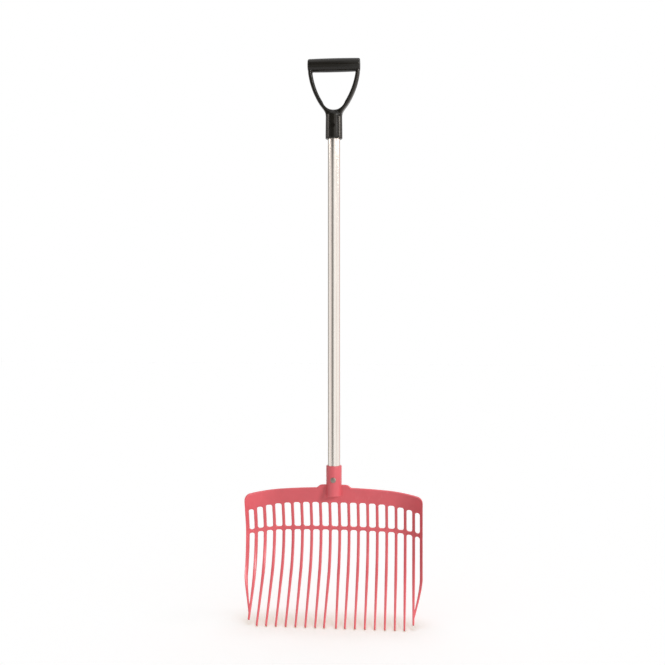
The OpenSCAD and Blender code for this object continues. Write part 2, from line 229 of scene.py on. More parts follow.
class StageSettings(bpy.types.PropertyGroup):
    """Camera, lights, floor and studio wall."""

    camera_turn: angle("Camera turn", "Camera's turn to the right of the fork's front", 5.45)
    camera_reach: length("Camera distance", "Camera's distance from the handle's axis", 2.04)
    camera_height: length("Camera height", "Camera's height above the floor", 0.718)
    lens: amount("Lens", "Focal length in millimetres", 48.3)
    frame_width: amount("Frame width", "Width of the camera's frame in millimetres", 36.0)
    shift_x: amount("Shift X", "Sideways shift of the frame", -0.0022)
    shift_y: amount("Shift Y", "Upward shift of the frame", -0.0489)
    top_turn: angle("Top light turn", "Top light's turn to the right of the fork's front", 180.0)
    top_rise: angle("Top light rise", "Top light's height", 74.0)
    top_softness: angle("Top light softness", "Apparent size of the top light", 30.0)
    top_power: amount("Top light", "Strength of the top light", 1.0)
    key_turn: angle("Key turn", "Key light's turn to the right of the fork's front", 50.0)
    key_rise: angle("Key rise", "Key light's height", 24.0)
    key_softness: angle("Key softness", "Apparent size of the key light", 13.0)
    key_power: amount("Key", "Strength of the key light", 1.9)
    side_turn: angle("Side light turn", "Side light's turn to the right of the fork's front", 97.0)
    side_rise: angle("Side light rise", "Side light's height", 75.0)
    side_softness: angle("Side light softness", "Apparent size of the side light", 5.0)
    side_power: amount("Side light", "Strength of the side light", 0.14)
    sky_power: amount("Sky", "Strength of the even light from all round", 0.5)
    floor_lift: amount("Floor", "Brightness of the floor's matt part", 1.177)
    floor_reach: length("Floor reach", "Half width of the studio floor", 8.0)
    wall_reach: length("Wall distance", "Distance of the studio wall from the handle's axis", 1.5)


# Meshes


def grid_quads(rows, columns):
    """Vertex numbers of the quads of a rows x columns grid of points."""
    number = np.arange(rows * columns).reshape(rows, columns)
    corners = (number[:-1, :-1], number[:-1, 1:], number[1:, 1:], number[1:, :-1])
    return np.stack(corners, axis=-1).reshape(-1, 4)


def welded(blocks):
    """Joins point grids (each rows x columns x values, of which the first three are the place) into one set
    of points and quads: points that lie within a micrometre of each other become one."""
    points = np.concatenate([block.reshape(-1, block.shape[-1]) for block in blocks])
    starts = np.cumsum([0] + [block.shape[0] * block.shape[1] for block in blocks[:-1]])
    quads = np.concatenate([grid_quads(*block.shape[:2]) + start for block, start in zip(blocks, starts)])
    places = np.round(points[:, :3] * WELD_STEPS).astype(np.int64)
    _, first, number = np.unique(places, axis=0, return_index=True, return_inverse=True)
    return points[first], number.reshape(-1)[quads]


def thickened(middle, offset, quads):
    """A closed wall about a middle surface: one skin at each side, at the given offset, and a rim of quads
    over the edges that belong to one quad only."""
    count = len(middle)
    start, end = quads, np.roll(quads, -1, axis=1)
    forward, backward = start * count + end, end * count + start
    open_edge = ~np.isin(forward, backward)
    start, end = start[open_edge], end[open_edge]
    rim = np.stack((end + count, start + count, start, end), axis=-1)
    skins = np.concatenate((middle - offset, middle + offset))
    return skins, np.concatenate((quads[:, ::-1], quads + count, rim))


def shell(rings):
    """A closed skin over rings (count x steps x 3): quads between neighbouring rings, which close on
    themselves, and one flat cap on the first and on the last ring."""
    count, steps = rings.shape[:2]
    number = np.arange(count * steps).reshape(count, steps)
    across = np.roll(number, -1, axis=1)
    quads = np.stack((number[:-1], across[:-1], across[1:], number[1:]), axis=-1).reshape(-1, 4)
    faces = quads.tolist() + [number[0, ::-1].tolist(), number[-1].tolist()]
    return rings.reshape(-1, 3), faces


def joined(shells):
    """Several closed skins as one list of points and faces."""
    points = np.concatenate([part for part, _ in shells])
    starts = np.cumsum([0] + [len(part) for part, _ in shells[:-1]])
    faces = [[number + start for number in face] for (_, part), start in zip(shells, starts) for face in part]
    return points, faces


def turned(profile, steps=ROUND_STEPS):
    """Rings of a profile (radius, height) turned about the Z axis through the origin."""
    around = np.linspace(0, 2 * np.pi, steps, endpoint=False)
    radius, height = profile[:, 0, None], profile[:, 1, None]
    return np.stack((radius * np.cos(around), radius * np.sin(around), height + 0 * around), axis=-1)


def corner(centre, radius, start, end, steps=6):
    """Points of a circular corner in the plane, from the start to the end angle in degrees."""
    turn = np.radians(np.linspace(start, end, steps + 1))
    return np.stack((centre[0] + radius * np.cos(turn), centre[1] + radius * np.sin(turn)), axis=-1)


def dome(radius, rise, level, start, steps):
    """Profile of a dome over a level, from the small flat at its top (start, in degrees) to full radius."""
    return corner((0, 0), 1.0, start, 0, steps) * np.array([radius, rise]) + np.array([0, level])


def cubic(t, start, end, leave, arrive):
    """Points at t, from 0 to 1, of the cubic that leaves the start and reaches the end on given tangents."""
    path = (2 * t**3 - 3 * t**2 + 1) * start + (t**3 - 2 * t**2 + t) * leave
    return path + (3 * t**2 - 2 * t**3) * end + (t**3 - t**2) * arrive


def add_piece(name, points, faces, material, slot, *nodes):
    """Makes the mesh with its faces outwards and smooth, at the origin, and ties it to the frame."""
    mesh = bpy.data.meshes.new(name)
    mesh.from_pydata(points.tolist(), [], faces.tolist() if isinstance(faces, np.ndarray) else faces)
    mesh.update()
    work = bmesh.new()
    work.from_mesh(mesh)
    bmesh.ops.recalc_face_normals(work, faces=work.faces)
    work.to_mesh(mesh)
    work.free()
    mesh.polygons.foreach_set("use_smooth", np.ones(len(mesh.polygons), bool))
    mesh.materials.append(material)
    piece = bpy.data.objects.new(name, mesh)
    bpy.context.scene.collection.objects.link(piece)
    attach(piece, BODY)
    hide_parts(*nodes)
    return piece


def round_edges(piece, width, steps=3, limit=35):
    """Rounds the edges that are sharper than the limit, and keeps the flats flat."""
    bevel = piece.modifiers.new("rounded edges", "BEVEL")
    bevel.width = width
    bevel.segments = steps
    bevel.limit_method = "ANGLE"
    bevel.angle_limit = math.radians(limit)
    bevel.use_clamp_overlap = False
    normals = piece.modifiers.new("flat faces", "WEIGHTED_NORMAL")
    normals.keep_sharp = True


# Head


class CombSheet:
    """The sheet that the comb is cut from. Seen from the front it is x across and z up; from the side
    it is a straight crown that leans back, a bend of one radius, and a straight run that comes forward.
    Both sides curl forward: the bend's upper radius shrinks there by the dish's rise. Below the bend the
    curl fades, so that the tines end in one plane."""

    def __init__(self, sizes):
        """Takes the sizes and works out the tines' places and the levels of crown, slots and crossbar."""
        self.s = sizes
        half_row = (sizes.tine_count - 1) / 2 * sizes.tine_pitch
        self.flat_half = half_row - sizes.dish_spaces * sizes.tine_pitch
        along = (np.arange(sizes.tine_count) - (sizes.tine_count - 1) / 2) * sizes.tine_pitch
        turn = np.clip(np.abs(along) - self.flat_half, 0, None) / sizes.dish_radius
        across = np.minimum(np.abs(along), self.flat_half) + sizes.dish_radius * np.sin(turn)
        self.tine_x = np.sign(along) * across
        self.row_half = self.tine_x[-1] + sizes.tine_width / 2
        self.bar_low = sizes.crossbar_lift - sizes.crossbar_height / 2
        self.slot_low = sizes.crossbar_lift + sizes.crossbar_height / 2
        self.slot_top = self.slot_low + sizes.slot_height
        self.crown_top = self.slot_top + sizes.crown_height
        lean, radius = sizes.crown_lean, sizes.bend_radius
        top_run = (self.crown_top - radius * math.sin(lean)) / math.cos(lean)
        top_y = radius * math.cos(lean) - top_run * math.sin(lean)
        self.y = AXIS_Y + sizes.crown_setback - top_y
        reach = (radius + sizes.sheet / 2) * math.sin(sizes.tine_lean)
        self.z = HEAD_LOW.z + reach + sizes.tine_run * math.cos(sizes.tine_lean)

    def dish_cosine(self, x):
        """Cosine of the dish's slope at x: a circle beyond the flat part."""
        beyond = np.clip(np.abs(x) - self.flat_half, 0, self.s.dish_radius)
        return np.sqrt(1 - (beyond / self.s.dish_radius) ** 2)

    def upper_radius(self, x):
        """Middle radius of the bend above its axis, smaller by the dish's rise at x."""
        return self.s.bend_radius - self.s.dish_radius * (1 - self.dish_cosine(x))

    def lower_radius(self, x):
        """Middle radius of the bend below its axis: so much larger where the sheet is dished that the set
        share of the dish has gone where the bend ends."""
        rise = self.s.dish_radius * (1 - self.dish_cosine(x))
        return self.upper_radius(x) + self.s.dish_fade * rise / (1 - math.cos(self.s.tine_lean))

    def late(self, x):
        """How far along the run the bend goes on at x, because its radius is larger there."""
        return (self.lower_radius(x) - self.upper_radius(x)) * math.sin(self.s.tine_lean)

    def bend_end(self, x):
        """Angle of the bend at which the run is counted from."""
        return self.s.tine_lean - np.arcsin(self.late(x) / self.lower_radius(x))

    def placed(self, x, y, z, turn, ridge):
        """Rows of values from places about the bend's axis: the place, then the way from the middle of the
        sheet to its back, half the wall and the ridge long. The turn is the profile's, upwards."""
        x, y, z, turn, ridge = np.broadcast_arrays(x, y, z, turn, ridge)
        gone = self.s.dish_fade * (1 - np.cos(np.minimum(turn, 0))) / (1 - math.cos(self.s.tine_lean))
        slant = 1 / self.dish_cosine(x) - 1
        half = self.s.sheet / 2 * (1 + slant * (1 - gone)) + ridge
        return np.stack((x, self.y + y, self.z + z, 0 * x, half * np.cos(turn), half * np.sin(turn)), axis=-1)

    def at_height(self, x, z, ridge=0.0):
        """Crown and bend by height above the bend's axis: on the bend the sine of the angle is height
        over radius; above it the sheet goes straight on."""
        upper, lean = self.upper_radius(x), self.s.crown_lean
        run = (z - upper * math.sin(lean)) / math.cos(lean)
        radius = np.where(z < 0, self.lower_radius(x), upper)
        turn = np.where(run > 0, lean, np.arcsin(np.clip(z / radius, -1, 1)))
        y = upper - radius * (1 - np.cos(turn)) - np.maximum(run, 0) * math.sin(lean)
        return self.placed(x, y, z, turn, ridge)

    def at_turn(self, x, turn, ridge=0.0):
        """Bend by its angle below the level of its axis."""
        radius = self.lower_radius(x)
        y = self.upper_radius(x) - radius * (1 - np.cos(turn))
        return self.placed(x, y, -radius * np.sin(turn), -turn, ridge)

    def at_run(self, x, run, ridge=0.0):
        """Tines by their length below the flat part's bend: on the bend while it goes on, then straight."""
        radius, lean, late = self.lower_radius(x), self.s.tine_lean, self.late(x)
        turn = lean - np.arcsin(np.clip(late - run, 0, None) / radius)
        straight = np.clip(run - late, 0, None)
        y = self.upper_radius(x) - radius * (1 - np.cos(turn)) - straight * math.sin(lean)
        return self.placed(x, y, -radius * np.sin(turn) - straight * math.cos(lean), -turn, ridge)

    def top_edge(self, x):
        """Crown's top: an arch, with raised shoulders beside the socket that slope down smoothly."""
        share = (self.s.shoulder_foot - np.abs(x)) / (self.s.shoulder_foot - self.s.shoulder_top)
        share = np.clip(share, 0, 1)
        shoulder = self.s.shoulder_height * share * share * (3 - 2 * share)
        return self.crown_top - self.s.crown_arch + np.sqrt(self.s.crown_arch**2 - x**2) + shoulder

    def slot_edge(self, x):
        """Slots' top: level in the middle, a parabola beyond it."""
        beyond = np.clip(np.abs(x) - self.s.slot_level, 0, None)
        return self.slot_top - beyond**2 / (2 * self.s.slot_arch)

    def bar_fall(self, x):
        """Fall of the arched crossbar at x."""
        return x**2 / (2 * self.s.crossbar_arch)


def by_bar(values):
    """Values of the slots at each bar's left side, middle and right side."""
    left, right = np.concatenate((values[:1], values)), np.concatenate((values, values[-1:]))
    return np.stack((left, (left + right) / 2, right), axis=-1)


def in_columns(bars, slots):
    """One row of columns from left to right: a bar's three, a slot's inner ones, the next bar's three."""
    return np.concatenate((np.concatenate((bars[:-1], slots), axis=-1).ravel(), bars[-1]))


def corner_turns(start, end):
    """Angles that divide half of a rounded corner."""
    return np.radians(np.linspace(start, end, CORNER_STEPS + 1))


class CombColumns:
    """Columns of the crown and of the crossbar: three to a bar, and in each slot the points of its two
    rounded corners with two between them. Every slot has level ends; their heights follow the arches."""

    def __init__(self, sheet):
        """Works out the columns' places, and the slot edges and crossbar's fall that each one follows."""
        s, x = sheet.s, sheet.tine_x
        half, round_r = s.tine_width / 2, s.slot_corner
        turn = corner_turns(45, 90)
        reach, drop = round_r * (1 - np.cos(turn)), round_r * (1 - np.sin(turn))
        inner = np.arange(x.size)
        left = x - half - np.where(inner > 0, reach[0], 0)
        right = x + half + np.where(inner < x.size - 1, reach[0], 0)
        start, end = (x + half)[:-1, None], (x - half)[1:, None]
        middle = start + round_r + (end - start - 2 * round_r) * np.array([1 / 3, 2 / 3])
        slots = np.concatenate((start + reach[1:], middle, end - reach[:0:-1]), axis=-1)
        slot_drop = np.concatenate((drop[1:], [0, 0], drop[:0:-1]))
        slot_x = (x[:-1] + x[1:]) / 2
        top, fall = sheet.slot_edge(slot_x), sheet.bar_fall(slot_x)
        self.bar_top, self.bar_fall = by_bar(top), by_bar(fall)
        self.x = in_columns(np.stack((left, x, right), axis=-1), slots)
        self.drop = in_columns(np.full((x.size, 3), drop[0]), np.repeat(slot_drop[None], x.size - 1, axis=0))
        self.top = in_columns(self.bar_top, np.repeat(top[:, None], slots.shape[1], axis=1))
        self.fall = in_columns(self.bar_fall, np.repeat(fall[:, None], slots.shape[1], axis=1))


def crown_block(sheet, columns):
    """Crown between its top edge and the slots: heights run evenly from edge to edge. The upper outer
    corners are rounded: half of each arc lies on the top row, half on the outer column."""
    rows = 2 * CORNER_STEPS
    radius = sheet.s.corner_radius
    inset = np.clip(np.abs(columns.x) - (sheet.row_half - radius), 0, radius)
    top = sheet.top_edge(columns.x) - radius + np.sqrt(radius**2 - inset**2)
    low = columns.top - columns.drop
    share = np.linspace(0, 1, rows + 1)[:, None]
    x = np.repeat(columns.x[None], rows + 1, axis=0)
    z = top + share * (low - top)
    turn = corner_turns(45, 0)
    for inner, middle, outer in ((-3, -2, -1), (2, 1, 0)):
        side = np.sign(columns.x[outer])
        arc = side * (sheet.row_half - radius * (1 - np.cos(turn)))
        x[: turn.size, outer] = arc
        z[: turn.size, outer] = sheet.top_edge(arc) - radius * (1 - np.sin(turn))
        z[CORNER_STEPS:, outer] = np.linspace(z[CORNER_STEPS, outer], low[outer], rows + 1 - CORNER_STEPS)
        x[:-1, middle] = (x[:-1, inner] + x[:-1, outer]) / 2
        z[:-1, middle] = (z[:-1, inner] + z[:-1, outer]) / 2
        bow = abs(x[0, middle]) - (sheet.row_half - radius)
        z[0, middle] = sheet.top_edge(x[0, middle]) - radius + math.sqrt(radius**2 - max(bow, 0) ** 2)
    return sheet.at_height(x, z)


def crossbar_block(sheet, columns):
    """Crossbar between the slots above and the gaps below it."""
    top = sheet.slot_low - columns.fall + columns.drop
    low = sheet.bar_low - columns.fall - columns.drop
    return sheet.at_height(columns.x, np.stack((top, (top + low) / 2, low)))


def bar_rows(sheet):
    """The rounded corner rows that each bar shares with its slots: x (tines x rows x 3) and the depth of
    each row below the slot's edge. Outer sides of the first and last bar stay straight."""
    s, x = sheet.s, sheet.tine_x
    turn = corner_turns(45, 0)
    flare, depth = s.slot_corner * (1 - np.cos(turn)), s.slot_corner * (1 - np.sin(turn))
    number = np.arange(x.size)[:, None]
    left = x[:, None] - s.tine_width / 2 - np.where(number > 0, flare, 0)
    right = x[:, None] + s.tine_width / 2 + np.where(number < x.size - 1, flare, 0)
    middle = np.repeat(x[:, None], turn.size, axis=1)
    return np.stack((left, middle, right), axis=-1), depth[None, :, None]


def ridge_rows(sheet, share):
    """A ridge on the middle column of a bar, with the given share of its height in each row."""
    return sheet.s.ridge * np.asarray(share)[None, :, None] * np.array([0, 1, 0])


def slot_bars(sheet, columns):
    """Bars between the slots: rounded corner rows at both ends and straight rows between them."""
    x, depth = bar_rows(sheet)
    top = columns.bar_top[:, None] - depth
    low = (sheet.slot_low - columns.bar_fall[:, None] + depth)[:, ::-1]
    share = np.linspace(0, 1, SLOT_ROWS + 2)[1:-1, None]
    middle = top[:, -1:] + share * (low[:, :1] - top[:, -1:])
    rows = np.concatenate((x, np.repeat(x[:, -1:], SLOT_ROWS, axis=1), x[:, ::-1]), axis=1)
    ridge = ridge_rows(sheet, np.concatenate((RIDGE_RISE, np.ones(SLOT_ROWS), RIDGE_RISE[::-1])))
    return sheet.at_height(rows, np.concatenate((top, middle, low), axis=1), ridge)


def bend_tines(sheet, columns):
    """Tines from the crossbar's lower corners round the bend."""
    x, depth = bar_rows(sheet)
    height = sheet.bar_low - columns.bar_fall[:, None] - depth
    corners = sheet.at_height(x, height, ridge_rows(sheet, RIDGE_RISE))
    share = np.linspace(0, 1, BEND_ROWS)[None, :, None]
    first, last = sheet.s.bend_start, sheet.bend_end(x[:, -1:])
    ridge = ridge_rows(sheet, np.ones(BEND_ROWS))
    bend = sheet.at_turn(x[:, -1:], first + share * (last - first), ridge)
    return np.concatenate((corners, bend), axis=1)


def run_rows(sheet, run):
    """Row lengths and half widths of a straight tine with an even taper. The side braces' joints are rows of
    their own."""
    s = sheet.s
    half_joint = (s.brace_from + s.brace_to) / 2
    rows = np.concatenate((np.linspace(0, s.brace_from, RUN_ROWS), [half_joint]))
    rows = np.concatenate((rows, np.linspace(s.brace_to, run, TIP_ROWS)))
    return rows, s.tine_width / 2 + (s.tip_width - s.tine_width) / 2 * rows / s.tine_run


def straight_tines(sheet):
    """Straight tines with blunt tips; the outermost two are shorter, and the middle two lean apart."""
    blocks = []
    after = sheet.tine_x.size // 2
    for number in range(1, sheet.tine_x.size - 1):
        at_side = number in (1, sheet.tine_x.size - 2)
        rows, half = run_rows(sheet, sheet.s.tine_run - (sheet.s.side_short if at_side else 0))
        spread = sheet.s.middle_spread * ((number == after) - (number == after - 1)) * rows / sheet.s.tine_run
        x = sheet.tine_x[number] + spread[:, None] + half[:, None] * np.array([-1, 0, 1])
        ridge = np.concatenate((np.ones(rows.size - len(RIDGE_TIP)), RIDGE_TIP))
        blocks.append(sheet.at_run(x, rows[:, None], ridge_rows(sheet, ridge)[0]))
    return blocks


def side_braces(sheet):
    """Outermost tines: below the bend each swings over to its neighbour on a smooth cubic, and its end
    lies along the neighbour's side. The left one is the right one's mirror image."""
    s = sheet.s
    rows, half = run_rows(sheet, s.tine_run - s.side_short)
    joint = RUN_ROWS - 1 + np.arange(3)
    across = np.array([-1, 0, 1])
    head = np.stack((sheet.tine_x[-1] + across * s.tine_width / 2, 0 * across), axis=-1)
    start = head + np.array([0, s.brace_start])
    end = np.stack((sheet.tine_x[-2] + half[joint], rows[joint]), axis=-1)
    span = end[:, 1:2] - s.brace_start
    lean = (end[1, 0] - start[1, 0]) / (end[1, 1] - start[1, 1])
    leave = np.concatenate((0 * span, s.brace_leave * span), axis=1)
    arrive = np.concatenate((s.brace_arrive * lean * span, span), axis=1)
    t = np.linspace(0, 1, BRACE_ROWS)[:, None, None]
    path = np.concatenate((head[None], cubic(t, start, end, leave, arrive)))
    ridge = ridge_rows(sheet, np.concatenate((np.ones(len(path) - len(RIDGE_FADE)), RIDGE_FADE)))[0]
    right = sheet.at_run(path[..., 0], path[..., 1], ridge)
    left = right[:, ::-1] * np.array([-1, 1, 1, 1, 1, 1])
    return [right, left]


def comb_mesh(sheet):
    """The comb: its blocks welded to one middle surface, without the part in the socket, and thickened."""
    columns = CombColumns(sheet)
    blocks = [crown_block(sheet, columns), crossbar_block(sheet, columns)]
    blocks += list(slot_bars(sheet, columns)) + list(bend_tines(sheet, columns))
    blocks += straight_tines(sheet) + side_braces(sheet)
    values, quads = welded(blocks)
    middle, offset = values[:, :3], values[:, 3:]
    out = np.hypot(middle[:, 0], middle[:, 1] - AXIS_Y) > TUBE_RADIUS + sheet.s.socket_wall / 2
    quads = quads[(out | (middle[:, 2] < TUBE_LOW.z))[quads].any(axis=1)]
    used, place = np.unique(quads, return_inverse=True)
    return thickened(middle[used], offset[used], place.reshape(quads.shape))


def socket_shell(sheet):
    """Head's socket turned about the handle's axis: closed foot, slightly tapered wall, rounded rim, bore."""
    s = sheet.s
    bore, edge = TUBE_RADIUS + s.socket_fit, s.socket_edge
    foot, mouth = HEAD_HIGH.z - s.socket_depth, HEAD_HIGH.z
    outer, rim = bore + s.socket_wall, s.socket_wall * RIM_SHARE
    profile = np.concatenate(
        (
            corner((outer - edge, foot + edge), edge, -90, 0),
            corner((outer - rim, mouth - rim), rim, 0, 90),
            corner((bore + rim, mouth - rim), rim, 90, 180),
            [(bore, foot + s.socket_floor)],
        )
    )
    return shell(turned(profile) + ON_AXIS)


class MANURE_FORK_OT_head(bpy.types.Operator):
    """Moulded comb with its socket"""

    bl_idname = "manure_fork.head"
    bl_label = "Head"

    def execute(self, context):
        sizes, finishes = context.scene.fork_head, context.scene.fork_finishes
        red = moulding(
            "head_coral", finishes.head_red, finishes.head_worn, roughness=0.34, specular=0.5, marks=0.35
        )
        sheet = CombSheet(sizes)
        comb = add_piece("comb", *comb_mesh(sheet), red, "head_plastic", "fork_head")
        round_edges(comb, sizes.edge_round)
        add_piece("head_socket", *socket_shell(sheet), red, "head_plastic", "fork_head")
        return {"FINISHED"}


# Handle


def tube_shell(sizes):
    """Aluminium tube turned about the handle's axis: outer wall, rounded ends, bore."""
    outer, edge = TUBE_RADIUS, sizes.tube_edge
    inner = outer - sizes.tube_wall
    low, high = TUBE_LOW.z, TUBE_HIGH.z
    profile = np.concatenate(
        (
            corner((inner + edge, low + edge), edge, 180, 270, CORNER_STEPS),
            corner((outer - edge, low + edge), edge, 270, 360, CORNER_STEPS),
            corner((outer - edge, high - edge), edge, 0, 90, CORNER_STEPS),
            corner((inner + edge, high - edge), edge, 90, 180, CORNER_STEPS),
        )
    )
    return welded_ring(turned(np.concatenate((profile, profile[:1])), 2 * ROUND_STEPS) + ON_AXIS)


def welded_ring(rings):
    """Rings whose last lies on the first: a skin without caps."""
    count, steps = rings.shape[0] - 1, rings.shape[1]
    number = np.arange(count * steps).reshape(count, steps)
    across, onward = np.roll(number, -1, axis=1), np.roll(number, -1, axis=0)
    quads = np.stack((number, across, np.roll(across, -1, axis=0), onward), axis=-1).reshape(-1, 4)
    return rings[:-1].reshape(-1, 3), quads


def bar_shell(sizes, middle_z):
    """Hand bar turned about X: a shallow barrel with rounded ends."""
    half = (GRIP_HIGH.x - GRIP_LOW.x) / 2
    edge = sizes.bar_edge
    end_radius = sizes.bar_diameter / 2 - sizes.bar_crown
    x = np.linspace(-half + edge, half - edge, BAR_ROWS)[1:-1]
    barrel = sizes.bar_diameter / 2 - sizes.bar_crown * (x / (half - edge)) ** 2
    profile = np.concatenate(
        (
            corner((end_radius - edge, -half + edge), edge, -90, 0),
            np.stack((barrel, x), axis=-1),
            corner((end_radius - edge, half - edge), edge, 0, 90),
        )
    )
    rings = turned(profile)[..., [2, 0, 1]]
    return shell(rings + np.array([0, AXIS_Y, middle_z]))


def yoke_edges(sizes):
    """Inner and outer edge (x, z below the bar) of the right half of the yoke, from bar to middle plane.
    Arms: two circles about one centre, kept inside the bar's ends. Hub: the inner edge follows the foot of
    the hand opening; the outer one swings on a cubic to the socket's side, then round inside the socket."""
    centre = np.array([-sizes.arm_offset, sizes.arm_rise])
    turn = np.linspace(sizes.arm_start, sizes.arm_end, ARM_ROWS)[:, None]
    way = np.concatenate((np.cos(turn), -np.sin(turn)), axis=1)
    inner = centre + sizes.arm_radius * way
    outer = centre + (sizes.arm_radius + sizes.arm_thickness) * way
    outer[:, 0] = np.minimum(outer[:, 0], GRIP_HIGH.x - sizes.arm_inset)
    loop = np.array([0, sizes.loop_radius - sizes.loop_drop])
    from_loop = inner[-1] - loop
    share = np.linspace(0, 1, HUB_ROWS)[1:, None]
    swing = math.atan2(from_loop[1], from_loop[0]) * (1 - share) - math.pi / 2 * share
    reach = np.hypot(*from_loop) * (1 - share) + sizes.loop_radius * share
    foot = loop + reach * np.concatenate((np.cos(swing), np.sin(swing)), axis=1)
    side = np.array([sizes.socket_top - sizes.hub_inset, -sizes.hub_foot])
    gap = np.hypot(*(side - outer[-1]))
    leave = gap * np.array([-math.sin(sizes.arm_end), -math.cos(sizes.arm_end)])
    arrive = gap * np.array([0, -1.0])
    flank = cubic(np.clip(share / FLANK_SHARE, 0, 1), outer[-1], side, leave, arrive)
    round_in = np.clip((share - FLANK_SHARE) / (1 - FLANK_SHARE), 0, 1) * math.pi / 2
    sunk = np.concatenate((side[0] * np.cos(round_in), side[1] - sizes.hub_sink * np.sin(round_in)), axis=1)
    flank = np.where(share > FLANK_SHARE, sunk, flank)
    return np.concatenate((inner, foot)), np.concatenate((outer, flank))


def yoke_shell(sizes, middle_z):
    """Yoke: rounded-square sections between the inner and the outer edge, deeper towards the hub, carried
    down one arm, through the hub and up the other."""
    inner, outer = yoke_edges(sizes)
    inner = np.concatenate((inner, inner[-2::-1] * np.array([-1, 1])))
    outer = np.concatenate((outer, outer[-2::-1] * np.array([-1, 1])))
    half = (outer - inner)[:, None] / 2
    middle = (outer + inner)[:, None] / 2
    hubward = np.clip((sizes.swell_start - inner[:, 1]) / sizes.swell_drop, 0, 1)
    depth = sizes.arm_depth / 2 + (sizes.hub_depth - sizes.arm_depth) / 2 * hubward
    around = np.linspace(0, 2 * np.pi, SMALL_STEPS, endpoint=False)
    squared = 2 / SECTION_POWER
    along = (np.sign(np.cos(around)) * np.abs(np.cos(around)) ** squared)[None, :, None]
    off = np.sign(np.sin(around)) * np.abs(np.sin(around)) ** squared
    flat = middle + half * along
    rings = np.stack((flat[..., 0], AXIS_Y + depth[:, None] * off, middle_z + flat[..., 1]), axis=-1)
    return shell(rings)


def grip_socket_shell(sizes, middle_z):
    """Grip's socket turned about the handle's axis: dome in the hub, tapered wall, rounded mouth, bore."""
    mouth, shoulder = GRIP_LOW.z, middle_z - sizes.hub_foot
    rim = sizes.mouth_round
    profile = np.concatenate(
        (
            dome(sizes.socket_top, sizes.dome_rise, shoulder, start=84, steps=14),
            corner((sizes.socket_mouth - rim, mouth + rim), rim, 0, -90),
            corner((sizes.socket_bore + rim, mouth + rim), rim, -90, -180),
            [(sizes.socket_bore, TUBE_HIGH.z)],
        )
    )
    return shell(turned(profile) + ON_AXIS)


def bolt_shell(sizes):
    """Bolt turned about Y: a low dome with an upright rim, a plain shank, a chamfered end."""
    low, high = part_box("head_bolt")
    head, shank, chamfer = sizes.bolt_head / 2, sizes.bolt_shank / 2, sizes.bolt_chamfer
    rim = low.y + sizes.bolt_dome
    seat = low.y + sizes.bolt_head_height
    profile = np.concatenate(
        (
            dome(head, -sizes.bolt_dome, rim, start=86, steps=9),
            [(head, seat), (shank, seat), (shank, high.y - chamfer), (shank - chamfer, high.y)],
        )
    )
    rings = turned(profile, SMALL_STEPS)[..., [0, 2, 1]]
    return shell(rings + np.array([0, 0, (low.z + high.z) / 2]))


class MANURE_FORK_OT_tube(bpy.types.Operator):
    """Straight aluminium tube"""

    bl_idname = "manure_fork.tube"
    bl_label = "Tube"

    def execute(self, context):
        sizes, finishes = context.scene.fork_handle, context.scene.fork_finishes
        bright = drawn_metal("tube_aluminium", finishes.tube_metal, roughness=0.16, lines=0.55)
        tube = add_piece("tube", *tube_shell(sizes), bright, "tube_aluminium", "handle_tube")
        normals = tube.modifiers.new("flat ends", "WEIGHTED_NORMAL")
        normals.keep_sharp = True
        return {"FINISHED"}


class MANURE_FORK_OT_grip(bpy.types.Operator):
    """Black D grip: bar, yoke and socket blended into one moulding"""

    bl_idname = "manure_fork.grip"
    bl_label = "D grip"

    def execute(self, context):
        sizes, finishes = context.scene.fork_handle, context.scene.fork_finishes
        black = moulding(
            "grip_black", finishes.grip_black, finishes.grip_worn, roughness=0.21, specular=0.3, marks=0.2
        )
        middle_z = GRIP_HIGH.z - sizes.bar_diameter / 2
        shells = (bar_shell(sizes, middle_z), yoke_shell(sizes, middle_z), grip_socket_shell(sizes, middle_z))
        grip = add_piece("grip", *joined(shells), black, "grip_plastic", "d_grip")
        blend = grip.modifiers.new("one moulding", "REMESH")
        blend.mode = "VOXEL"
        blend.voxel_size = sizes.blend
        blend.use_smooth_shade = True
        fillet = grip.modifiers.new("fillets", "SMOOTH")
        fillet.factor = 0.5
        fillet.iterations = 9
        return {"FINISHED"}


class MANURE_FORK_OT_fasteners(bpy.types.Operator):
    """Bolt and nut of the head, screw of the grip"""

    bl_idname = "manure_fork.fasteners"
    bl_label = "Fasteners"

    def execute(self, context):
        sizes, finishes = context.scene.fork_handle, context.scene.fork_finishes
        zinc = drawn_metal("zinc_steel", finishes.zinc, roughness=0.42, lines=0.25)
        dark = drawn_metal("screw_dark", finishes.screw_dark, roughness=0.42, lines=0.2)
        add_piece("bolt", *bolt_shell(sizes), zinc, "zinc_steel", "head_bolt")
        for node, material in (("head_nut", zinc), ("grip_screw", dark)):
            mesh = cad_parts[node].data
            mesh.materials.clear()
            mesh.materials.append(material)
        return {"FINISHED"}


# Finishes


def node_group(name, inputs, outputs):
    """A new shader node group with named sockets. Returns the group, its input and its output node."""
    group = bpy.data.node_groups.new(name, "ShaderNodeTree")
    for socket, kind, value in inputs:
        made = group.interface.new_socket(socket, in_out="INPUT", socket_type=kind)
        if value is not None:
            made.default_value = value
    for socket, kind in outputs:
        group.interface.new_socket(socket, in_out="OUTPUT", socket_type=kind)
    return group, group.nodes.new("NodeGroupInput"), group.nodes.new("NodeGroupOutput")


def add_node(tree, kind, values=None, **settings):
    """Adds a node, with settings on the node and values on its sockets; a socket value is linked."""
    node = tree.nodes.new(kind)
    for key, value in settings.items():
        setattr(node, key, value)
    for key, value in (values or {}).items():
        if isinstance(value, bpy.types.NodeSocket):
            tree.links.new(value, node.inputs[key])
        else:
            node.inputs[key].default_value = value
    return node


